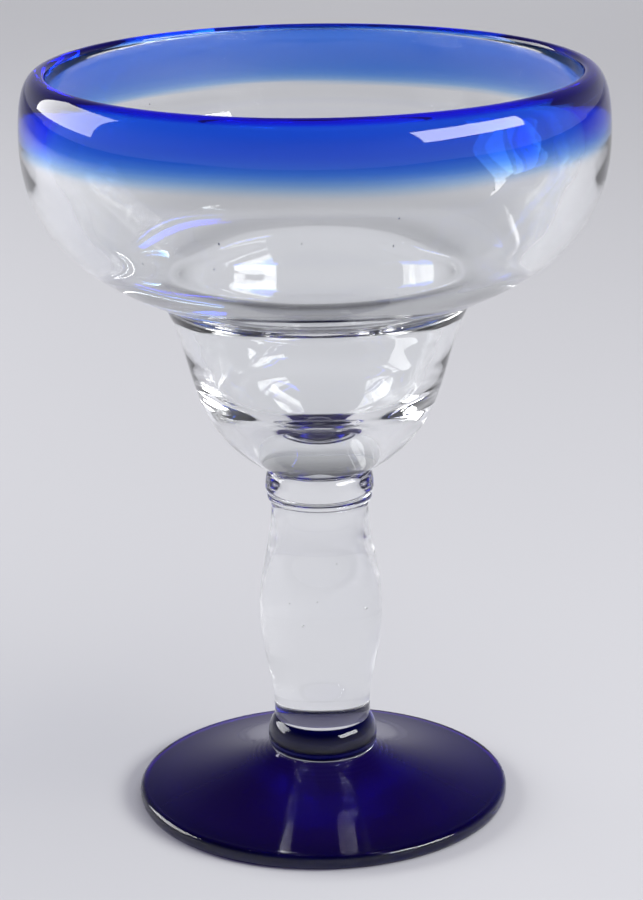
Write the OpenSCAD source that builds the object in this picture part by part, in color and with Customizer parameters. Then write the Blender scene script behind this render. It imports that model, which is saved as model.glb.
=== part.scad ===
// Margarita glass, hand blown and hot assembled: a stepped clear bowl with a
// cobalt band fused round its lip, two clear collars, a solid baluster stem
// and a cobalt foot. +Z is up, and the origin is the centre of the foot's
// resting face. Lengths are in millimetres.

/* [Bowl] */
// Widest outside diameter of the bowl
bowl_d = 134.4; // [106:0.2:160]
// Height from the bowl's seat to the crest of the lip
bowl_h = 94.8; // [76:0.2:115]
// Height from the widest level to the crest of the lip
lip_rise = 15; // [11:0.2:20]
// How far the crest of the lip lies inside the widest radius
lip_lean = 5.4; // [4.4:0.1:8]
// Outside diameter at the waist, where the lower cup opens into the dish
waist_d = 70; // [58:0.5:80]
// Height from the seat to the waist
waist_h = 39.6; // [32:0.2:45]
// Size of the hollow blend under the dish at the waist
waist_blend = 4.1; // [2:0.1:6]
// Diameter of the flat seat under the bowl
bowl_seat_d = 23.4; // [19:0.2:28]

/* [Bowl walls] */
// Wall beside the seat, at the thick floor
floor_wall = 12.15; // [10:0.05:13]
// Wall of the lower cup
cup_wall = 3.15; // [2.8:0.05:4]
// How much thicker the cup's wall gets up at the waist
cup_top_gain = 1.6; // [0.6:0.1:3]
// Wall of the dish
dish_wall = 6; // [4.5:0.1:7]
// Height of the floor's dome above the seat
floor_h = 5.15; // [4.5:0.05:7]
// Height of that dome above the ring round it
floor_dome_h = 2.6; // [1.5:0.05:3]
// Radius of the lip's inner edge
lip_inside_r = 1.2; // [0.6:0.1:1.6]

/* [Upper collar] */
// Height of the collar between the stem and the bowl
upper_collar_h = 7.7; // [6:0.1:10]
// How far the collar's bulge stands out past the bowl's seat
upper_bulge = 1.1; // [0.6:0.1:3]
// Height of the thin bead along the collar's lower edge
bead_h = 1.5; // [1:0.1:2]
// How far the bead stands out past the joint with the stem
bead_bulge = 1.1; // [0.6:0.1:2]

/* [Stem] */
// Length of the stem between its two collars
stem_h = 55; // [40:0.5:80]
// Widest diameter, halfway up
stem_d = 29.2; // [24:0.1:36]
// Diameter of the joint faces at the stem's two ends
stem_joint_d = 22.4; // [18:0.1:23]
// Height of the rounded edge beside each joint
stem_edge_h = 1.2; // [0.6:0.1:2]
// How far that edge stands out past the joint
stem_edge_out = 0.3; // [0.1:0.05:0.8]

/* [Lower collar] */
// Height of the collar between the foot and the stem
lower_collar_h = 7.7; // [6:0.1:10]
// How far the collar's bulge stands out past the foot's neck
lower_bulge = 0.95; // [0.4:0.05:3]
// Height of its widest level above the foot
lower_collar_wide_h = 2.4; // [1.5:0.1:3.5]

/* [Foot] */
// Outside diameter of the foot
foot_d = 89.2; // [70:0.2:110]
// Height of the foot from its resting face to its neck
foot_h = 12.8; // [9:0.2:20]
// Thickness of the foot at its edge
foot_edge_h = 3.7; // [2.8:0.1:5]
// Radius of the round under the foot's edge
foot_under_r = 1.1; // [0.5:0.1:1.4]
// Diameter of the neck that carries the lower collar
neck_d = 24.4; // [20:0.2:30]

/* [Rim band] */
// Share of the inner wall above the widest level that stays clear
clear_inside_share = 0.7; // [0.5:0.05:0.85]

/* [Hidden] */
$fn = 96;

// Levels, each piece standing on the one below
lower_collar_z = foot_h;
stem_z = lower_collar_z + lower_collar_h;
upper_collar_z = stem_z + stem_h;
bowl_z = upper_collar_z + upper_collar_h;
waist_z = bowl_z + waist_h;
mouth_z = bowl_z + bowl_h;
belly_z = mouth_z - lip_rise;

// Radii
belly_r = bowl_d/2;
mouth_r = belly_r - lip_lean;
waist_r = waist_d/2;
bowl_seat_r = bowl_seat_d/2;
stem_joint_r = stem_joint_d/2;
neck_r = neck_d/2;
foot_r = foot_d/2;

// Handles of the curves, as shares of the run from start to end in radius and
// in height
cup_shares = [[0.86, 0.28], [0.69, 0.65]];
waist_shares = [0.55, 0.75];
dish_shares = [[0.74, 0.24], [1, 0.56]];
lip_shares = [[0, 0.66], [0.28, 1]];
inside_shares = [[0, 0.45], [1, 0.55]];
joint_shares = [[0.1, 0.35], [0.6, 0.8]];
stem_half_shares = [[0, 0.42], [1, 0.62]];
stem_edge_shares = [[0, 0.6], [0.5, 1]];
lower_swell_shares = [[0.6, 0.05], [1, 0.5]];
lower_shoulder_shares = [[0, 0.5], [0.4, 0.85]];
foot_slope_shares = [[0.43, 0.2], [0.85, 0.65]];
foot_edge_shares = [[0, 0.75], [0.35, 1]];
// Where the foot's rounded edge begins and ends, as a share of the edge's height
foot_edge_run_share = 0.5;
// How far the bead's handles reach, as a share of how far the bead stands out
bead_pull_share = 1.3;
// Depth of the groove over the bead, as a share of how far the bead stands out
groove_share = 0.5;
// Level of the upper collar's widest point, as a share of its bulge's height
bulge_rise_share = 0.3;
// Slope of the waist blend's handles, as a share of its chord
waist_pull_share = 0.35;
// Where the soft curve inside the waist meets the dish, as a share of its
// curve, and how far that soft curve's two handles reach
roll_end_share = 0.6;
roll_pull_shares = [0.27, 0.85];
// Where the floor meets the wall, as a share of the cup's curve, the ring round
// its dome, as a share of that radius, and the handles of the floor's two curves
floor_meet_share = 0.4;
floor_ring_share = 0.45;
dome_shares = [[0.33, 0], [0.67, 1.12]];
floor_start_shares = [0.24, 0.02];
floor_pull_share = 0.35;

// Steps along one curve
curve_steps = 12;
clear_steps = round(clear_inside_share*curve_steps);

// Points of a cubic curve from a to d with handles b and c
function curve(a, b, c, d) = [
    for (i = [0 : curve_steps])
        let (t = i/curve_steps, s = 1 - t)
        s*s*s*a + 3*s*s*t*b + 3*s*t*t*c + t*t*t*d
];

// The same with both handles given as shares of the run from a to d
function run(a, d, shares) =
    let (span = d - a)
    curve(
        a,
        a + [span[0]*shares[0][0], span[1]*shares[0][1]],
        a + [span[0]*shares[1][0], span[1]*shares[1][1]],
        d
    );

function reversed(points) = [for (i = [len(points) - 1 : -1 : 0]) points[i]];
function first(points, count) = [for (i = [0 : count - 1]) points[i]];
function after(points, skip) = [for (i = [skip : len(points) - 1]) points[i]];
function unit(v) = v/norm(v);

// Unit normal on the left of the path at point i
function normal_at(points, i) =
    let (
        low = points[max(i - 1, 0)],
        high = points[min(i + 1, len(points) - 1)],
        along = unit(high - low)
    )
    [-along[1], along[0]];

// Outside of the bowl, from the seat up to the widest level
cup_end = [waist_r, waist_z];
cup_outside = run([bowl_seat_r, bowl_z], cup_end, cup_shares);
dish_start = cup_end + [waist_blend*waist_shares[0], waist_blend*waist_shares[1]];
belly_point = [belly_r, belly_z];
dish_outside = run(dish_start, belly_point, dish_shares);
cup_heading = unit(cup_end - cup_outside[curve_steps - 1]);
dish_heading = unit(dish_outside[1] - dish_start);
waist_pull = norm(dish_start - cup_end)*waist_pull_share;
waist_outside = curve(
    cup_end,
    cup_end + cup_heading*waist_pull,
    dish_start - dish_heading*waist_pull,
    dish_start
);
wall_outside = concat(cup_outside, after(waist_outside, 1), after(dish_outside, 1));

// Wall at each of those points: thick at the floor, thin halfway up the cup,
// a little thicker at the waist, then the dish's
function wall_at(i) =
    i <= curve_steps
        ? cup_wall
            + (floor_wall - cup_wall)*pow(1 - i/curve_steps, 2)
            + cup_top_gain*pow(i/curve_steps, 3)
        : dish_wall;

// Inside of the wall, offset from the outside
wall_inside = [
    for (i = [0 : len(wall_outside) - 2])
        wall_outside[i] + normal_at(wall_outside, i)*wall_at(i)
];

// The waist was pinched from outside: inside, one soft curve joins the cup and
// the dish, over thick glass
roll_end_step = 2*curve_steps + round(roll_end_share*curve_steps);
roll_start = wall_inside[curve_steps];
roll_end = wall_inside[roll_end_step];
roll_length = norm(roll_end - roll_start);
roll_inside = curve(
    roll_start,
    roll_start
        + unit(roll_start - wall_inside[curve_steps - 1])*roll_length*roll_pull_shares[0],
    roll_end
        - unit(wall_inside[roll_end_step + 1] - roll_end)*roll_length*roll_pull_shares[1],
    roll_end
);

// The floor: a low dome where the collar was pressed on, a ring, and a rise into the wall
floor_meet = round(floor_meet_share*curve_steps);
floor_edge = wall_inside[floor_meet];
floor_top = [0, bowl_z + floor_h];
floor_ring = [floor_edge[0]*floor_ring_share, bowl_z + floor_h - floor_dome_h];
floor_rise = floor_edge - floor_ring;
floor_heading = unit(floor_edge - wall_inside[floor_meet - 1]);
floor_inside = concat(
    run(floor_top, floor_ring, dome_shares),
    after(curve(
        floor_ring,
        floor_ring + [
            floor_rise[0]*floor_start_shares[0],
            floor_rise[1]*floor_start_shares[1]
        ],
        floor_edge - floor_heading*norm(floor_rise)*floor_pull_share,
        floor_edge
    ), 1)
);

// The whole inside from the axis up to the dish's wall below the widest level
bowl_inside = concat(
    floor_inside,
    [for (i = [floor_meet + 1 : curve_steps - 1]) wall_inside[i]],
    roll_inside,
    after(wall_inside, roll_end_step + 1)
);
belly_inside = [belly_r - dish_wall, belly_z];
lip_inside = [mouth_r - lip_inside_r, mouth_z - lip_inside_r];
upper_inside = run(belly_inside, lip_inside, inside_shares);

// The rounded lip: a long outer shoulder and a small inner round
lip_outside = run(belly_point, [mouth_r, mouth_z], lip_shares);
lip_round = [
    for (i = [0 : curve_steps])
        let (angle = 90 + 90*i/curve_steps)
        [
            mouth_r + lip_inside_r*cos(angle),
            mouth_z - lip_inside_r + lip_inside_r*sin(angle)
        ]
];

// Face where the band is fused to the bowl, slanting through the wall
band_joint = run(belly_point, upper_inside[clear_steps], joint_shares);

module turned(outline) {
    rotate_extrude()
        polygon(outline);
}

// The coloured lip, as thick as the wall at its top and thinning to nothing below
module rim_band() {
    color([0.13, 0.29, 0.75])
        turned(concat(
            lip_outside,
            after(lip_round, 1),
            after(reversed(after(upper_inside, clear_steps)), 1),
            first(after(reversed(band_joint), 1), curve_steps - 1)
        ));
}

// The clear bowl: the lower cup, the waist and the dish up to the band
module bowl() {
    color([0.86, 0.88, 0.9])
        turned(concat(
            [[0, bowl_z]],
            wall_outside,
            after(band_joint, 1),
            after(reversed(first(upper_inside, clear_steps + 1)), 1),
            reversed(bowl_inside)
        ));
}

// The clear collar under the bowl, a soft bulge over a thin bead
module upper_collar() {
    bulge_z = upper_collar_z + bead_h;
    groove = [stem_joint_r + bead_bulge*groove_share, bulge_z];
    top = [bowl_seat_r, bowl_z];
    wide = [bowl_seat_r + upper_bulge, bulge_z + (bowl_z - bulge_z)*bulge_rise_share];
    bead_reach = stem_joint_r + bead_bulge*bead_pull_share;
    bead = curve(
        [stem_joint_r, upper_collar_z],
        [bead_reach, upper_collar_z],
        [bead_reach, bulge_z],
        groove
    );
    color([0.84, 0.86, 0.88])
        turned(concat(
            [[0, upper_collar_z]],
            bead,
            after(run(groove, wide, lower_swell_shares), 1),
            after(run(wide, top, lower_shoulder_shares), 1),
            [[0, bowl_z]]
        ));
}

// The solid baluster stem, widest halfway up
module stem() {
    middle = [stem_d/2, stem_z + stem_h/2];
    base = [stem_joint_r + stem_edge_out, stem_z + stem_edge_h];
    top = [stem_joint_r + stem_edge_out, upper_collar_z - stem_edge_h];
    color([0.88, 0.9, 0.92])
        turned(concat(
            [[0, stem_z]],
            reversed(run(base, [stem_joint_r, stem_z], stem_edge_shares)),
            after(reversed(run(middle, base, stem_half_shares)), 1),
            after(run(middle, top, stem_half_shares), 1),
            after(run(top, [stem_joint_r, upper_collar_z], stem_edge_shares), 1),
            [[0, upper_collar_z]]
        ));
}

// The clear collar on the foot, widest low down
module lower_collar() {
    neck = [neck_r, lower_collar_z];
    wide = [neck_r + lower_bulge, lower_collar_z + lower_collar_wide_h];
    top = [stem_joint_r, stem_z];
    color([0.8, 0.83, 0.88])
        turned(concat(
            [[0, lower_collar_z]],
            run(neck, wide, lower_swell_shares),
            after(run(wide, top, lower_shoulder_shares), 1),
            [[0, stem_z]]
        ));
}

// The cobalt foot: a flat resting face, a rounded edge and a slope to the neck
module foot() {
    edge_run = foot_edge_h*foot_edge_run_share;
    edge_low = [foot_r, foot_edge_h*foot_edge_run_share];
    edge_top = [foot_r - edge_run, foot_edge_h];
    under = [foot_r - foot_under_r, 0];
    color([0.07, 0.03, 0.3])
        turned(concat(
            [[0, 0]],
            run(under, edge_low, lower_swell_shares),
            after(run(edge_low, edge_top, foot_edge_shares), 1),
            after(run(edge_top, [neck_r, foot_h], foot_slope_shares), 1),
            [[0, foot_h]]
        ));
}

rim_band();
bowl();
upper_collar();
stem();
lower_collar();
foot();
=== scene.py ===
import math

import bpy
import numpy as np
from mathutils import Matrix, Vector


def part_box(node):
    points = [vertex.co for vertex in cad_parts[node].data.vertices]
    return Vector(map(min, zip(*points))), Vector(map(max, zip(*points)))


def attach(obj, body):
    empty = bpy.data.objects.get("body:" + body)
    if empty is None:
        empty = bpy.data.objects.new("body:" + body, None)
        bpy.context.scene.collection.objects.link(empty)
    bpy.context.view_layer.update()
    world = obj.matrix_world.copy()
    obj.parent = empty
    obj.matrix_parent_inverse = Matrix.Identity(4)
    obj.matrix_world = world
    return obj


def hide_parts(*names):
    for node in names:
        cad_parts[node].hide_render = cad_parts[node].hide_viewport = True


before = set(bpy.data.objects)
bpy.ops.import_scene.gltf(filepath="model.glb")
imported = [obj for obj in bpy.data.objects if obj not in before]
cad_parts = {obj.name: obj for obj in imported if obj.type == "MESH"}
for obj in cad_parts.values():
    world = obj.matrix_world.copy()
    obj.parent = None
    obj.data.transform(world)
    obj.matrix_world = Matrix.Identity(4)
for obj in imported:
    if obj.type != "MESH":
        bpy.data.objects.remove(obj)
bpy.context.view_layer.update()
mm = 0.001


# Shader maths


class Signal:
    # one socket; an expression on signals adds its Math nodes

    def __init__(self, finish, socket):
        self.finish = finish
        self.socket = socket

    def mathWith(self, kind, first, second):
        return self.finish.add("ShaderNodeMath", {"operation": kind}, {0: first, 1: second})

    def __add__(self, other):
        return self.mathWith("ADD", self, other)

    def __radd__(self, other):
        return self.mathWith("ADD", other, self)

    def __sub__(self, other):
        return self.mathWith("SUBTRACT", self, other)

    def __rsub__(self, other):
        return self.mathWith("SUBTRACT", other, self)

    def __mul__(self, other):
        return self.mathWith("MULTIPLY", self, other)

    def __rmul__(self, other):
        return self.mathWith("MULTIPLY", other, self)


class Finish:
    # one material or world and its nodes

    def __init__(self, holder, endKind):
        self.holder = holder
        holder.use_nodes = True
        self.nodes = holder.node_tree.nodes
        self.links = holder.node_tree.links
        self.nodes.clear()
        self.end = self.nodes.new(endKind)

    def plug(self, value, socket):
        if isinstance(value, Signal):
            self.links.new(value.socket, socket)
        else:
            socket.default_value = value

    def add(self, kind, settings=None, inputs=None, output=0):
        # any node: its settings first, then the values or links of its sockets
        node = self.nodes.new(kind)
        for name, value in (settings or {}).items():
            if name == "stops":
                self.setStops(node.color_ramp, value)
            else:
                setattr(node, name, value)
        for name, value in (inputs or {}).items():
            self.plug(value, node.inputs[name])
        return Signal(self, node.outputs[output])

    def setStops(self, ramp, stops):
        while len(ramp.elements) < len(stops):
            ramp.elements.new(1.0)
        for element, (place, colour) in zip(ramp.elements, stops):
            element.position = place
            element.color = (*colour, 1.0)

    def noise(self, scale, detail=2.0, stretch=(1, 1, 1)):
        place = self.add("ShaderNodeTexCoord", output="Object")
        place = self.add("ShaderNodeMapping", inputs={"Vector": place, "Scale": stretch})
        return self.add("ShaderNodeTexNoise", inputs={"Vector": place, "Scale": scale, "Detail": detail})

    def layer(self, name):
        # a value that a mesh carries on its points or faces
        return self.add("ShaderNodeAttribute", {"attribute_name": name}, output="Fac")

    def mapRange(self, value, low, high, most):
        # 0 at low and most at high, held beyond them
        return self.add("ShaderNodeMapRange", {"clamp": True}, {0: value, 1: low, 2: high, 3: 0.0, 4: most})

    def mixColours(self, share, first, second, blend="MIX"):
        settings = {"data_type": "RGBA", "blend_type": blend}
        return self.add("ShaderNodeMix", settings, {0: share, 6: first, 7: second}, 2)

    def mixShaders(self, share, first, second):
        return self.add("ShaderNodeMixShader", inputs={0: share, 1: first, 2: second})

    def close(self, surface, volume=None):
        self.plug(surface, self.end.inputs["Surface"])
        if volume is not None:
            self.plug(volume, self.end.inputs["Volume"])
        return self.holder


def newFinish(name):
    return Finish(bpy.data.materials.new(name), "ShaderNodeOutputMaterial")


# Outlines, as arrays of (radius, height) in millimetres


def cubicRun(start, end, shares, steps=36):
    # cubic from start to end; each handle is a share of the run in radius and in height
    start, end = np.array(start, float), np.array(end, float)
    handles = [start + (end - start) * np.array(share) for share in shares]
    t = np.linspace(0, 1, steps + 1)[:, None]
    s = 1 - t
    return s**3 * start + 3 * s * s * t * handles[0] + 3 * s * t * t * handles[1] + t**3 * end


def softRun(knots, steps):
    # a centripetal spline through all knots but the first and last, without its end point
    # each knot's slope is that of the parabola through it and its neighbours
    parts = []
    t = np.linspace(0, 1, steps + 1)[:-1, None]
    for a, b, c, d in zip(knots[:-3], knots[1:-2], knots[2:-1], knots[3:]):
        before, here, after = [math.sqrt(np.linalg.norm(way)) for way in (b - a, c - b, d - c)]
        leave = here * ((c - b) / here + (b - a) / before - (c - a) / (before + here))
        arrive = here * ((c - b) / here + (d - c) / after - (d - b) / (here + after))
        parts.append(b * (2 * t**3 - 3 * t**2 + 1) + leave * (t**3 - 2 * t**2 + t))
        parts[-1] += c * (3 * t**2 - 2 * t**3) + arrive * (t**3 - t**2)
    return np.concatenate(parts)


def leftNormals(path):
    # the unit normals on the left of a path, from the slope through each point's neighbours
    along = np.gradient(path, axis=0)
    along /= np.linalg.norm(along, axis=1)[:, None]
    return np.stack([-along[:, 1], along[:, 0]], 1)


def chain(*paths):
    # one path from several that meet end to end, with each shared point kept once
    return np.concatenate([paths[0]] + [path[1:] for path in paths[1:]])


def arcPath(centre, radius, fromAngle, toAngle, steps=16):
    # a circle's points from one angle to another, in degrees
    angle = np.radians(np.linspace(fromAngle, toAngle, steps + 1))
    return np.stack([centre[0] + radius * np.cos(angle), centre[1] + radius * np.sin(angle)], 1)


def spans(*flagged):
    # one flag for each span of an outline: pairs of (how many spans, whether they are fused)
    return np.concatenate([np.full(count, fused) for count, fused in flagged])


def turnAbout(radius, turn, height):
    # places round the axis: x = r cos a, y = r sin a
    return np.stack([radius * np.cos(turn), radius * np.sin(turn), height], 1)


# Turned pieces

turning = {"segments": 240}


def setValues(mesh, name, domain, values):
    layer = mesh.attributes.new(name, "FLOAT", domain)
    layer.data.foreach_set("value", values.astype(np.float32))


def meshFrom(name, points, loops, starts, joints):
    # points in millimetres, all faces' corners in a row, each face's first corner, and which faces are fused
    mesh = bpy.data.meshes.new(name)
    mesh.vertices.add(len(points))
    mesh.vertices.foreach_set("co", (points * mm).astype(np.float32).ravel())
    mesh.loops.add(len(loops))
    mesh.loops.foreach_set("vertex_index", loops.astype(np.int32))
    mesh.polygons.add(len(starts))
    mesh.polygons.foreach_set("loop_start", starts.astype(np.int32))
    mesh.update(calc_edges=True)
    mesh.polygons.foreach_set("use_smooth", ~joints)
    mesh.polygons.foreach_set("material_index", joints.astype(np.int32))
    setValues(mesh, "fused", "FACE", joints)
    return mesh


def sharpenJoints(mesh, joints, starts):
    # the outline of a fused face is a sharp edge, so that the shading of the outside doesn't bend into it
    edgeOf = np.empty(len(mesh.loops), np.int32)
    mesh.loops.foreach_get("edge_index", edgeOf)
    faceOf = np.repeat(joints, np.diff(np.append(starts, len(mesh.loops))))
    sides = np.bincount(edgeOf)
    fusedSides = np.bincount(edgeOf, weights=faceOf)
    mesh.edges.foreach_set("use_edge_sharp", (fusedSides > 0) & (fusedSides < sides))


def turnedMesh(name, outline, jointSpans, wobble=None, tint=None, ground=None, cavities=None, ring=False):
    # each outline point is carried round Z: x = r cos a, y = r sin a; wobble(a, r, z) bends the rings
    # jointSpans flags the spans that are fused to a neighbour; an end at radius 0 closes in a single point
    # tint(a, z, k) is the depth of colour at the outline's point k; faces below the height ground are frosted
    count = turning["segments"]
    angle = np.arange(count) * 2 * np.pi / count
    startPole, endPole = [not ring and tip[0] < 1e-9 for tip in (outline[0], outline[-1])]
    body = outline[int(startPole): len(outline) - int(endPole)]
    radius, height = (np.repeat(column[:, None], count, 1) for column in body.T)
    if wobble is not None:
        radius, height = wobble(angle[None, :], radius, height)
    grid = np.stack([radius * np.cos(angle), radius * np.sin(angle), height], -1)
    rings = len(body)
    rows = np.arange(rings if ring else rings - 1)
    low = rows[:, None] * count
    high = ((rows + 1) % rings)[:, None] * count
    here = np.arange(count)
    following = (here + 1) % count
    quads = np.stack([low + here, low + following, high + following, high + here], -1).reshape(-1, 4)
    quadJoint = np.repeat(jointSpans[int(startPole): int(startPole) + len(rows)], count)
    points, loops = [grid.reshape(-1, 3)], [quads.ravel()]
    starts, joints = [np.arange(len(quads)) * 4], [quadJoint]
    total, loopTotal = rings * count, quads.size
    # a fan of triangles closes each pole; the first pole's fan runs the other way round
    for pole, ringIndex, end in ((startPole, 0, 0), (endPole, rings - 1, -1)):
        if not pole:
            continue
        fan = [ringIndex * count + here, ringIndex * count + following]
        tris = np.stack([np.full(count, total)] + (fan[::-1] if end == 0 else fan), -1)
        points.append(np.array([[0, 0, outline[end][1]]]))
        loops.append(tris.ravel())
        starts.append(loopTotal + np.arange(count) * 3)
        joints.append(np.full(count, jointSpans[end]))
        total += 1
        loopTotal += tris.size
    if cavities is not None:
        cavityPoints, cavityTris = cavities
        points.append(cavityPoints)
        loops.append((cavityTris + total).ravel())
        starts.append(loopTotal + np.arange(len(cavityTris)) * 3)
        joints.append(np.zeros(len(cavityTris), bool))
    points, loops = np.concatenate(points), np.concatenate(loops)
    starts, joints = np.concatenate(starts), np.concatenate(joints)
    mesh = meshFrom(name, points, loops, starts, joints)
    if tint is not None:
        # poles and cavities carry no tint
        place = np.minimum(np.arange(len(points)) // count, rings - 1) + int(startPole)
        value = tint(np.arctan2(points[:, 1], points[:, 0]), points[:, 2], place)
        value[rings * count:] = 0
        setValues(mesh, "tint", "POINT", value)
    if ground is not None:
        middles = np.empty((len(starts), 3), np.float32)
        mesh.polygons.foreach_get("center", middles.ravel())
        setValues(mesh, "ground", "FACE", middles[:, 2] < ground * mm)
    sharpenJoints(mesh, joints, starts)
    mesh.validate()
    return mesh


def placePiece(name, mesh, finishes):
    # the piece rides on the body, stands in for its solid and takes its finish's slot
    piece = bpy.data.objects.new(name + "_glass", mesh)
    bpy.context.scene.collection.objects.link(piece)
    for finish in finishes:
        mesh.materials.append(finish)
    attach(piece, "root")
    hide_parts(name)
    return piece


# Finishes

glassLook = {"ior": 1.5, "smear": 0.012, "wave": 0.00003, "shade": (0.94, 0.945, 0.95, 1)}
clearTints = [(0.985, 0.99, 0.992, 1), (0.962, 0.975, 0.976, 1)]
white = (1, 1, 1, 1)


def smearedRoughness(finish, most):
    # fire-polished glass is clean; a few faint smears break the shine
    return finish.mapRange(finish.noise(38, 3), 0.52, 0.75, most)


def slowWaves(finish, distance):
    # the soft waves that blowing and turning leave on the surface
    waves = finish.noise(55, 1, (1, 1, 0.6))
    return finish.add("ShaderNodeBump", inputs={"Strength": 1.0, "Distance": distance, "Height": waves})


def glassBody(finish, colour, roughness):
    # clear to the eye; the colour is taken at each face that the light passes
    return finish.add(
        "ShaderNodeBsdfPrincipled",
        inputs={
            "Base Color": colour,
            "Roughness": roughness,
            "IOR": glassLook["ior"],
            "Transmission Weight": 1.0,
            "Normal": slowWaves(finish, glassLook["wave"]),
        },
    )


def withGlimmer(finish, body, share, colour):
    # deep cobalt glass glimmers a little itself: a share of plain matte colour
    return finish.mixShaders(share, body, finish.add("ShaderNodeBsdfDiffuse", inputs={"Color": colour}))


def passShadows(finish, surface, shade):
    # light goes through to the floor, tinted, where refracting glass would throw a solid shadow
    clear = finish.add("ShaderNodeBsdfTransparent", inputs={"Color": shade})
    shadowRay = finish.add("ShaderNodeLightPath", output="Is Shadow Ray")
    return finish.mixShaders(shadowRay, surface, clear)


# cobalt tint of one wall: T = exp(-absorb * depth)
# Base Color acts as its root at each face that the light passes, so the exponent is doubled there
cobalt = {
    "absorb": (4.4, 2.15, 0.07),
    "deepest": 3.0,
    "streak": 0.10,
    "haze": 0.16,
    "glimmer": (0.08, 0.05, 0.85, 1),
    "shade": (0.06, 0.18, 0.9, 1),
}


def cobaltTint(finish):
    # the colour of a face that carries a whole wall's tint, from the "tint" attribute, a little streaky
    tint = finish.layer("tint")
    streak = (finish.noise(30, 3, (1, 1, 3)) - 0.5) * cobalt["streak"]
    places = [0.0, 0.03, 0.06, 0.1, 0.15, 0.2, 0.27, 0.34, 0.45, 0.6, 0.8, 1.0]
    depths = [2 * place * cobalt["deepest"] for place in places]
    colours = [[math.exp(-absorb * depth) for absorb in cobalt["absorb"]] for depth in depths]
    stops = list(zip(places, colours))
    return finish.add("ShaderNodeValToRGB", {"stops": stops}, {"Fac": tint + streak * tint})


def clearGlass():
    finish = newFinish("clear_glass")
    streak = finish.noise(26, 2, (1, 1, 2.5))
    colour = finish.mixColours(streak, *clearTints)
    colour = finish.mixColours(1.0, colour, cobaltTint(finish), "MULTIPLY")
    body = glassBody(finish, colour, smearedRoughness(finish, glassLook["smear"]))
    return finish.close(passShadows(finish, body, glassLook["shade"]))


def fusedFace():
    # where two gathers of glass are one, light goes straight on
    finish = newFinish("fused_face")
    return finish.close(finish.add("ShaderNodeBsdfTransparent", inputs={"Color": white}))


def cobaltBand():
    finish = newFinish("cobalt_band")
    body = glassBody(finish, cobaltTint(finish), smearedRoughness(finish, glassLook["smear"]))
    body = withGlimmer(finish, body, finish.layer("tint") * cobalt["haze"], cobalt["glimmer"])
    return finish.close(passShadows(finish, body, cobalt["shade"]))


footLook = {
    "tints": [(0.95, 0.95, 1, 1), (0.88, 0.89, 1, 1)],
    "absorb": (0.47, 0.05, 0.942, 1),
    "density": 900.0,
    "smear": 0.024,
    "frost": 0.3,
    "shade": (0.42, 0.48, 0.34, 1),
    "haze": 0.06,
    "glimmer": (0.09, 0.03, 0.48, 1),
    "glimmerRise": (0.003, 0.0045),
}


def cobaltFoot():
    # the colour is in the bulk; the glimmer begins above the foot's edge
    look = footLook
    finish = newFinish("cobalt_foot")
    colour = finish.mixColours(finish.noise(22, 2), *look["tints"])
    roughness = smearedRoughness(finish, look["smear"]) + finish.layer("ground") * look["frost"]
    body = glassBody(finish, colour, roughness)
    place = finish.add("ShaderNodeTexCoord", output="Object")
    height = finish.add("ShaderNodeSeparateXYZ", inputs={"Vector": place}, output="Z")
    aboveEdge = finish.mapRange(height, *look["glimmerRise"], 1.0)
    body = withGlimmer(finish, body, aboveEdge * look["haze"], look["glimmer"])
    clear = finish.add("ShaderNodeBsdfTransparent", inputs={"Color": white})
    surface = finish.mixShaders(finish.layer("fused"), passShadows(finish, body, look["shade"]), clear)
    bulk = {"Color": look["absorb"], "Density": look["density"]}
    return finish.close(surface, finish.add("ShaderNodeVolumeAbsorption", inputs=bulk))


clearFinish, fusedFinish = clearGlass(), fusedFace()
bandFinish, footFinish = cobaltBand(), cobaltFoot()
print("finishes made")


# Levels and widths, from the frame


def levels(node):
    low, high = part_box(node)
    return low.z / mm, high.z / mm


footTop = levels("foot")[1]
stemLow, stemHigh = levels("stem")
seatLevel, _ = levels("bowl")
mouthLevel = levels("rim_band")[1]
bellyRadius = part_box("rim_band")[1].x / mm
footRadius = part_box("foot")[1].x / mm
joint = {"stem": 11.2, "seat": 11.7, "neck": 12.2, "gap": 0.01}


# Seeds: tiny round bubbles caught in the glass


def bubbleSet(centres, radii):
    # a small sphere round each centre: x = sin t cos a, y = sin t sin a, z = cos t
    # its faces look inwards, because the glass is outside it
    around, down = 8, 5
    angle = np.arange(around) * 2 * np.pi / around
    tilt = np.linspace(0, np.pi, down + 2)[1:-1]
    sphere = np.stack([
        np.outer(np.sin(tilt), np.cos(angle)),
        np.outer(np.sin(tilt), np.sin(angle)),
        np.outer(np.cos(tilt), np.ones(around)),
    ], -1)
    unit = np.concatenate([sphere.reshape(-1, 3), [[0, 0, 1], [0, 0, -1]]])
    row, column = np.meshgrid(np.arange(down - 1), np.arange(around), indexing="ij")
    here, beside = row * around + column, row * around + (column + 1) % around
    below, across = here + around, beside + around
    middle = np.stack([np.stack([here, beside, across], -1), np.stack([here, across, below], -1)], 2)
    column = np.arange(around)
    following = (column + 1) % around
    last = (down - 1) * around
    top = np.stack([np.full(around, down * around), following, column], -1)
    bottom = np.stack([np.full(around, down * around + 1), last + column, last + following], -1)
    tris = np.concatenate([middle.reshape(-1, 3), top, bottom])
    points = centres[:, None, :] + radii[:, None, None] * unit[None]
    shifted = tris[None] + (np.arange(len(centres)) * len(unit))[:, None, None]
    return points.reshape(-1, 3), shifted.reshape(-1, 3)


# The bowl and its band

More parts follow.
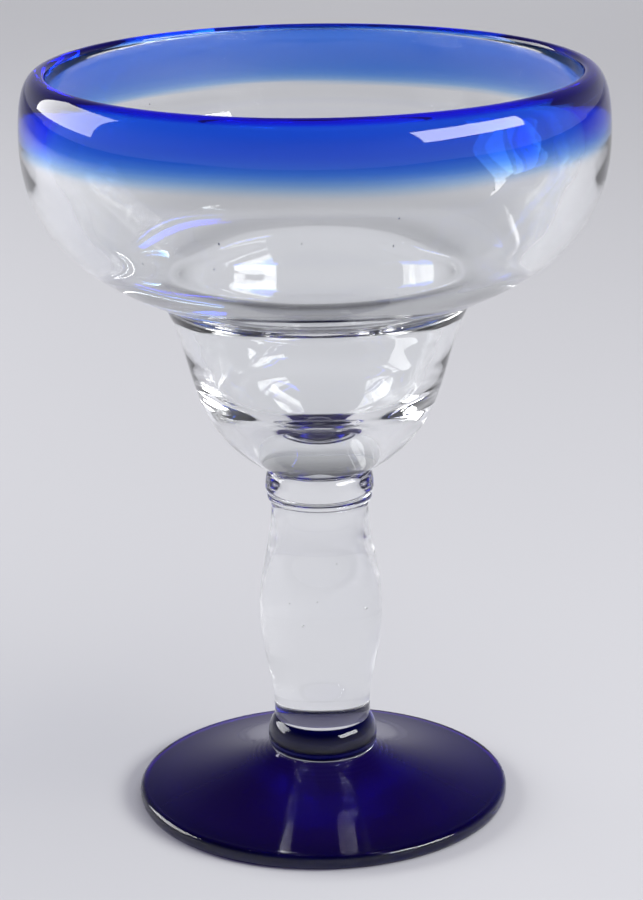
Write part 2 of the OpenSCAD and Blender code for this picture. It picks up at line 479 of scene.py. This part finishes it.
# millimetres, shares and radians; insideRadii and insideLevels are the inner curve's knots, above the seat
bowlShape = {
    "lipRise": 15.0,
    "lipLean": 5.4,
    "waistRadius": 35.0,
    "waistRise": 39.6,
    "waistBlend": (2.255, 3.075),
    "waistPull": 0.35,
    "edgeWall": 6.5,
    "edgeThinning": 11.1,
    "floorMeet": 0.4,
    "domeLevel": 5.15,
    "domeHeight": 2.6,
    "ringShare": 0.45,
    "ringTilt": 0.10,
    "ringPull": 0.145,
    "edgePull": 0.35,
    "dishWall": 6.0,
    "dishReach": 6.0,
    "lipInside": 1.2,
    "clearInsideShare": 0.7,
    "insideRadii": (24, 27, 29, 31.6, 37.6, 45, 51.4, 57.2, 60.5),
    "insideLevels": (20.8, 28.8, 35.3, 40.8, 45.3, 50.3, 56.8, 64.8, 73.8),
    "outsideSteps": 44,
    "upperSteps": 40,
}

# handles of its curves, as shares of each run
bowlCurves = {
    "cup": [(0.86, 0.28), (0.69, 0.65)],
    "dish": [(0.74, 0.24), (1, 0.56)],
    "lip": [(0, 0.66), (0.28, 1)],
    "upper": [(0, 0.45), (1, 0.55)],
    "slant": [(0.1, 0.35), (0.6, 0.8)],
}

bowlWaves = {"depth": 0.10, "start": 6.0, "fade": 30.0}
bowlBubbles = {"count": 34, "fromPoint": 20, "across": (0.4, 0.6), "radii": (0.10, 0.28)}


def unitWay(way):
    return way / np.linalg.norm(way)


def cupOutside(bellyLevel):
    # outside, from the seat up: the cup, a short blend round the waist, and the dish
    shape, curves = bowlShape, bowlCurves
    cupEnd = np.array([shape["waistRadius"], seatLevel + shape["waistRise"]])
    dishStart = cupEnd + shape["waistBlend"]
    cup = cubicRun((joint["seat"], seatLevel), cupEnd, curves["cup"], shape["outsideSteps"])
    dish = cubicRun(dishStart, (bellyRadius, bellyLevel), curves["dish"], shape["outsideSteps"])
    chord = dishStart - cupEnd
    pull = shape["waistPull"] * np.linalg.norm(chord)
    shares = [unitWay(cup[-1] - cup[-2]) * pull / chord, 1 - unitWay(dish[1] - dish[0]) * pull / chord]
    return chain(cup, cubicRun(cupEnd, dishStart, shares, 20), dish)


def floorEdge(outside):
    # the last three points of the floor, a wall's width inside the cup, which thins upwards there
    shape = bowlShape
    steps = shape["outsideSteps"]
    meet = round(shape["floorMeet"] * steps)
    near = slice(meet - 2, meet + 1)
    wall = shape["edgeWall"] + shape["edgeThinning"] * np.array([2, 1, 0]) / steps
    return outside[near] + leftNormals(outside)[near] * wall[:, None]


def cupFloor(edges):
    # a low dome where the collar was pressed on, a ring round it, then up into the wall
    shape = bowlShape
    edge = edges[2]
    domeTop = np.array([0, seatLevel + shape["domeLevel"]])
    ring = np.array([shape["ringShare"] * edge[0], domeTop[1] - shape["domeHeight"]])
    ringWay = np.array([math.cos(shape["ringTilt"]), math.sin(shape["ringTilt"])])
    dome = cubicRun(domeTop, ring, [(1 / 3, 0), 1 - ringWay * ring[0] / 3 / (ring - domeTop)], 24)
    reach = np.linalg.norm(edge - ring)
    leave = ringWay * reach * shape["ringPull"]
    arrive = unitWay(edge - edges[1]) * reach * shape["edgePull"]
    return chain(dome, cubicRun(ring, edge, [leave / (edge - ring), 1 - arrive / (edge - ring)], 40))


def bowlOutlines():
    # outside and inside of the bowl, and the lip and the slant where the band takes over
    shape, curves = bowlShape, bowlCurves
    bellyLevel = mouthLevel - shape["lipRise"]
    mouthRadius = bellyRadius - shape["lipLean"]
    outside = cupOutside(bellyLevel)
    edges = floorEdge(outside)
    # the tool that pinched the waist marked only the outside: inside, one soft curve runs up cup and dish
    knots = np.stack([shape["insideRadii"], seatLevel + np.array(shape["insideLevels"])], 1)
    dishTop = np.array([bellyRadius - shape["dishWall"], bellyLevel])
    beyond = dishTop + [0, shape["dishReach"]]
    inside = softRun(np.concatenate([edges[::2], knots, [dishTop, beyond]]), 12)
    belly = np.array([bellyRadius, bellyLevel])
    lipInside = np.array([mouthRadius - shape["lipInside"], mouthLevel - shape["lipInside"]])
    upper = cubicRun(dishTop, lipInside, curves["upper"], shape["upperSteps"])
    split = round(shape["clearInsideShare"] * shape["upperSteps"])
    return {
        "outside": outside,
        "inside": inside,
        "floor": cupFloor(edges),
        "upper": upper,
        "lip": cubicRun(belly, (mouthRadius, mouthLevel), curves["lip"], shape["outsideSteps"]),
        "roundIn": arcPath((mouthRadius, lipInside[1]), shape["lipInside"], 90, 180),
        "split": split,
        "slant": cubicRun(belly, upper[split], curves["slant"], shape["upperSteps"]),
    }


def handWaves(angle, radius, height):
    # a mouth a hair off round and slow waves down the wall, all inwards, fading out at the seat
    fade = np.clip((height - seatLevel - bowlWaves["start"]) / bowlWaves["fade"], 0, 1)
    oval = 1 - 0.5 * np.cos(2 * angle + 0.6)
    wave = oval - 0.3 * np.cos(3 * angle + height / 19) - 0.2 * np.cos(5 * angle - height / 11)
    return radius - bowlWaves["depth"] * wave * fade, height


def bowlSeeds(lines):
    # centres about halfway from a point outside to the nearest one inside, spread by a fixed seed
    shape = bowlBubbles
    chance = np.random.default_rng(7)
    spot = lines["outside"][chance.integers(shape["fromPoint"], len(lines["outside"]) - 2, shape["count"])]
    turn = chance.uniform(0, 2 * np.pi, shape["count"])
    across = chance.uniform(*shape["across"], shape["count"])[:, None]
    near = np.argmin(np.linalg.norm(spot[:, None] - lines["inside"][None], axis=2), axis=1)
    place = spot * (1 - across) + lines["inside"][near] * across
    centres = turnAbout(place[:, 0], turn, place[:, 1])
    return bubbleSet(centres, chance.uniform(*shape["radii"], shape["count"]))


# how the cobalt fades down the wall, in millimetres below the mouth or above the band's edge
bandShape = {
    "edgeDrop": 16.6,
    "edgeSag": 1.6,
    "frontFade": 10.2,
    "backDepth": 0.70,
    "backStart": 1.4,
    "backFade": 2.2,
    "lipDrop": 1.4,
    "lipFade": 1.2,
    "lipDepth": 1.6,
}


def cobaltDepth(angle, height, outer):
    # a wall's depth of colour: none below the band, more up its side, most on the lip, tinted inside too
    # in front it fades in slowly; at the back it starts at once, as 1 - exp(-height), and stays paler
    # the band's lower edge hangs lower on the left and wanders a little
    shape = bandShape
    edge = mouthLevel - shape["edgeDrop"] - shape["edgeSag"] * ((1 - np.cos(angle)) / 2) ** 4
    edge += 0.25 * np.cos(3 * angle + 0.4) + 0.15 * np.cos(7 * angle)
    rise = np.clip((height - edge) / shape["frontFade"], 0, 1)
    front = rise**2 * (3 - 2 * rise)
    backRise = np.maximum(height - edge - shape["backStart"], 0) / shape["backFade"]
    back = shape["backDepth"] * (1 - np.exp(-backRise))
    backShare = (1 + np.sin(angle)) / 2
    lip = np.clip((height - mouthLevel + shape["lipDrop"]) / shape["lipFade"], 0, 1)
    return (outer * (front + (back - front) * backShare) + shape["lipDepth"] * lip) / cobalt["deepest"]


lines = bowlOutlines()


def makeBowl():
    # up the outside, in along the band's slant, down the inside and over the floor
    slant = lines["slant"][1:] - [0, joint["gap"]]
    upper = lines["upper"][: lines["split"]][::-1]
    inside = lines["inside"][::-1]
    seat = [0, seatLevel + joint["gap"]]
    seatEdge = [joint["seat"], seatLevel + joint["gap"]]
    outline = np.concatenate([
        [seat, seatEdge], lines["outside"][1:], slant, upper, inside[:-1], lines["floor"][::-1],
    ])
    outer = len(lines["outside"]) - 1
    rest = len(outline) - 2 - outer - len(slant)
    flags = spans((1, True), (outer, False), (len(slant), True), (rest, False))
    tint = lambda angle, height, place: cobaltDepth(angle, height, place <= outer + 1)
    mesh = turnedMesh("bowl_glass", outline, flags, handWaves, tint, cavities=bowlSeeds(lines))
    return placePiece("bowl", mesh, [clearFinish, fusedFinish])


def makeBand():
    # up the outside, over the lip, down the inside and back along the slant
    upper = lines["upper"][lines["split"]:][::-1]
    slant = lines["slant"][::-1][1:-1]
    outline = np.concatenate([lines["lip"], lines["roundIn"][1:], upper[1:], slant])
    plain = len(outline) - len(slant) - 1
    flags = spans((plain, False), (len(outline) - plain, True))
    tint = lambda angle, height, place: cobaltDepth(angle, height, place < len(lines["lip"]))
    mesh = turnedMesh("rim_band_glass", outline, flags, handWaves, tint, ring=True)
    return placePiece("rim_band", mesh, [bandFinish, fusedFinish])


makeBowl()
makeBand()
print("bowl and band made")


# The two collars and the stem

collarShape = {
    "upperBulge": 1.1,
    "bulgeRise": 0.3,
    "beadHeight": 1.5,
    "beadOut": 1.1,
    "grooveShare": 0.5,
    "beadReach": 2.6,
    "lowerBulge": 0.95,
    "wideRise": 2.4,
}
swell, shoulder = [(0.6, 0.05), (1, 0.5)], [(0, 0.5), (0.4, 0.85)]


def clearPiece(name, outline, cavities=None):
    # a clear solid piece that is fused to its neighbours at both ends
    flags = spans((1, True), (len(outline) - 3, False), (1, True))
    mesh = turnedMesh(name + "_glass", outline, flags, cavities=cavities)
    return placePiece(name, mesh, [clearFinish, fusedFinish])


def makeUpperCollar():
    # a thin bead, a groove, then a soft bulge up to the bowl's seat
    shape = collarShape
    low, high = stemHigh + joint["gap"], seatLevel - joint["gap"]
    bulgeLow = stemHigh + shape["beadHeight"]
    groove = (joint["stem"] + shape["grooveShare"] * shape["beadOut"], bulgeLow)
    wide = (joint["seat"] + shape["upperBulge"], bulgeLow + shape["bulgeRise"] * (seatLevel - bulgeLow))
    bead = cubicRun((joint["stem"], low), groove, [(shape["beadReach"], 0), (shape["beadReach"], 1)], 20)
    bulge = chain(cubicRun(groove, wide, swell, 14), cubicRun(wide, (joint["seat"], high), shoulder, 20))
    return clearPiece("upper_collar", np.concatenate([[[0, low]], bead, bulge[1:], [[0, high]]]))


stemShape = {"edgeHeight": 1.2, "edgeOut": 0.3}
stemBubbles = {"count": 5, "reach": 0.8, "lowest": 8.0, "highest": 6.0, "radii": (0.10, 0.2)}


def stemSeeds():
    # spread over the stem's section and height by a fixed seed
    shape = stemBubbles
    chance = np.random.default_rng(3)
    spread = chance.uniform(0, shape["reach"], shape["count"]) ** 0.5 * joint["stem"]
    turn = chance.uniform(0, 2 * np.pi, shape["count"])
    level = chance.uniform(stemLow + shape["lowest"], stemHigh - shape["highest"], shape["count"])
    return bubbleSet(turnAbout(spread, turn, level), chance.uniform(*shape["radii"], shape["count"]))


def makeStem():
    # widest halfway up, with a small rounded edge beside each joint
    low, high = stemLow + joint["gap"], stemHigh - joint["gap"]
    middle = (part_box("stem")[1].x / mm, (stemLow + stemHigh) / 2)
    out = joint["stem"] + stemShape["edgeOut"]
    base, top = (out, stemLow + stemShape["edgeHeight"]), (out, stemHigh - stemShape["edgeHeight"])
    half, edge = [(0, 0.42), (1, 0.62)], [(0, 0.6), (0.5, 1)]
    side = chain(
        cubicRun(base, (joint["stem"], low), edge, 12)[::-1],
        cubicRun(middle, base, half)[::-1],
        cubicRun(middle, top, half),
        cubicRun(top, (joint["stem"], high), edge, 12),
    )
    return clearPiece("stem", np.concatenate([[[0, low]], side, [[0, high]]]), stemSeeds())


def makeLowerCollar():
    # widest low down, drawn in to the stem's joint
    low, high = footTop + joint["gap"], stemLow - joint["gap"]
    wide = (joint["neck"] + collarShape["lowerBulge"], footTop + collarShape["wideRise"])
    side = chain(
        cubicRun((joint["neck"], low), wide, swell, 16),
        cubicRun(wide, (joint["stem"], high), shoulder, 28),
    )
    return clearPiece("lower_collar", np.concatenate([[[0, low]], side, [[0, high]]]))


makeUpperCollar()
makeStem()
makeLowerCollar()
print("stem and collars made")


# The foot

footShape = {
    "edgeHeight": 3.7,
    "underRound": 1.1,
    "slope": [(0.43, 0.2), (0.85, 0.65)],
    "rim": [(0, 0.75), (0.35, 1)],
    "markDepth": 0.03,
    "markPitch": 1.3,
    "markReach": 9.0,
    "markStart": 1.5,
    "groundLevel": 0.01,
}


def toolMarks(radius):
    # fine rings that fade out from the neck: depth (1 + sin 2 pi r / pitch)
    shape = footShape
    out = radius - joint["neck"]
    near = np.clip(1 - out / shape["markReach"], 0, 1) * np.clip(out / shape["markStart"], 0, 1)
    return shape["markDepth"] * near * (1 + np.sin(radius * 2 * np.pi / shape["markPitch"]))


def makeFoot():
    # a flat face, a rounded edge and a slope to the neck, with the forming tool's rings near the neck
    shape = footShape
    top = footTop - joint["gap"]
    half = shape["edgeHeight"] / 2
    edgeLow, edgeTop = (footRadius, half), (footRadius - half, shape["edgeHeight"])
    slope = cubicRun(edgeTop, (joint["neck"], top), shape["slope"], 110)
    slope[:, 1] -= toolMarks(slope[:, 0])
    side = chain(
        cubicRun((footRadius - shape["underRound"], 0), edgeLow, swell, 14),
        cubicRun(edgeLow, edgeTop, shape["rim"], 16),
        slope,
    )
    outline = np.concatenate([[[0, 0]], side, [[0, top]]])
    flags = spans((len(outline) - 2, False), (1, True))
    mesh = turnedMesh("foot_glass", outline, flags, ground=shape["groundLevel"])
    mesh.polygons.foreach_set("material_index", np.zeros(len(mesh.polygons), np.int32))
    return placePiece("foot", mesh, [footFinish])


makeFoot()
print("foot made")


# The studio: one pale sweep, two soft boxes and two lights that show in no reflection

studio = {
    "width": 7.0,
    "back": 2.6,
    "bend": 0.1,
    "front": 3.0,
    "floorDrop": 0.0002,
    "paper": (0.64, 0.64, 0.68, 1),
    "pale": (0.5, 0.5, 0.53, 1),
    "roomTint": (0.985, 0.985, 1.03),
}

# how bright the room is at each sine of the angle above the horizon
room = [
    (0.0, 0.52), (0.09, 0.46), (0.18, 0.36), (0.27, 0.28),
    (0.36, 0.19), (0.45, 0.11), (0.58, 0.035), (0.7, 0.012),
]


def makeSweep():
    # a floor whose far edge turns up: a line and a quarter circle, drawn across the width
    bend, back = studio["bend"], studio["back"]
    quarter = np.radians(np.linspace(-90, 0, 25))
    y = np.concatenate([[-studio["front"]], back - bend + bend * np.cos(quarter)])
    z = np.concatenate([[0], bend + bend * np.sin(quarter)]) - studio["floorDrop"]
    x = np.array([-0.5, 0.5]) * studio["width"]
    points = [np.stack([np.full(len(y), side), y, z], -1) for side in x]
    near = np.arange(len(y) - 1)
    faces = np.stack([near, near + len(y), near + len(y) + 1, near + 1], -1)
    mesh = bpy.data.meshes.new("paper_sweep")
    mesh.from_pydata(np.concatenate(points).tolist(), [], faces.tolist())
    mesh.polygons.foreach_set("use_smooth", np.ones(len(faces), bool))
    mesh.update()
    sweep = bpy.data.objects.new("paper_sweep", mesh)
    bpy.context.scene.collection.objects.link(sweep)
    finish = newFinish("paper")
    matte = finish.add("ShaderNodeBsdfDiffuse", inputs={"Color": studio["paper"]})
    mesh.materials.append(finish.close(matte))


lamps = {
    "right_box": dict(place=(0.90, -0.46, 0.60), target=(0, 0, 0.17), size=(0.90, 0.37), power=12),
    "left_box": dict(place=(-0.97, 0.39, 0.51), target=(0, 0, 0.17), size=(0.85, 0.60), power=10),
    "top_light": dict(place=(0.6, -0.2, 1.6), target=(0, 0.1, 0), size=(1.6, 1.2), power=10.4, hidden=True),
    "far_light": dict(place=(0.1, 2.0, 1.2), target=(0.1, 2.01, 0), size=(2.4, 0.8), power=15.5, hidden=True),
}


def softBox(name, place, target, size, power, hidden=False):
    # a soft box facing its target; a hidden one lights the paper but shows in no reflection
    lamp = bpy.data.lights.new(name, "AREA")
    lamp.shape = "RECTANGLE"
    lamp.size, lamp.size_y = size
    lamp.energy = power
    holder = bpy.data.objects.new(name, lamp)
    bpy.context.scene.collection.objects.link(holder)
    away = np.array(place, float) - np.array(target, float)
    turn = math.atan2(away[0], -away[1])
    tilt = math.atan2(math.hypot(away[0], away[1]), away[2])
    holder.location = place
    holder.visible_glossy = holder.visible_transmission = not hidden
    holder.rotation_euler = (tilt, 0, turn)


def makeWorld():
    # what the glass mirrors: pale near the horizon, dark overhead
    world = bpy.data.worlds.new("studio")
    bpy.context.scene.world = world
    finish = Finish(world, "ShaderNodeOutputWorld")
    way = finish.add("ShaderNodeTexCoord", output="Generated")
    rise = finish.add("ShaderNodeSeparateXYZ", inputs={"Vector": way}, output="Z")
    stops = [(sine, [level * part for part in studio["roomTint"]]) for sine, level in room]
    mirrored = finish.add("ShaderNodeValToRGB", {"stops": stops}, {"Fac": rise})
    dark = finish.add("ShaderNodeBackground", inputs={"Color": mirrored, "Strength": 1.0})
    pale = finish.add("ShaderNodeBackground", inputs={"Color": studio["pale"], "Strength": 1.0})
    seen = finish.add("ShaderNodeLightPath", output="Is Camera Ray")
    finish.close(finish.mixShaders(seen, dark, pale))


# the photographed view: a long lens 0.63 m away and 0.29 m up, looking 17.6 degrees down
view = {"place": (0, -0.628, 0.286), "pitch": 0.3065, "roll": -0.0126, "yaw": 0.0009, "lens": 112}


def makeCamera():
    camera = bpy.data.cameras.new("camera")
    camera.sensor_fit = "VERTICAL"
    camera.sensor_height = 36
    camera.lens = view["lens"]
    camera.clip_start = 0.01
    holder = bpy.data.objects.new("camera", camera)
    bpy.context.scene.collection.objects.link(holder)
    holder.rotation_mode = "XYZ"
    holder.location = view["place"]
    turn = Matrix.Rotation(-view["yaw"], 3, "Z") @ Matrix.Rotation(math.pi / 2 - view["pitch"], 3, "X")
    turn = turn @ Matrix.Rotation(view["roll"], 3, "Z")
    holder.rotation_euler = turn.to_euler()
    bpy.context.scene.camera = holder


makeSweep()
for lampName, lamp in lamps.items():
    softBox(lampName, **lamp)
makeWorld()
makeCamera()
scene = bpy.context.scene
scene.view_settings.view_transform = "Standard"
scene.cycles.max_bounces = 32
scene.cycles.transmission_bounces = 32
scene.cycles.glossy_bounces = 12
scene.cycles.transparent_max_bounces = 64
scene.cycles.caustics_refractive = False
scene.cycles.caustics_reflective = False
print("studio made")
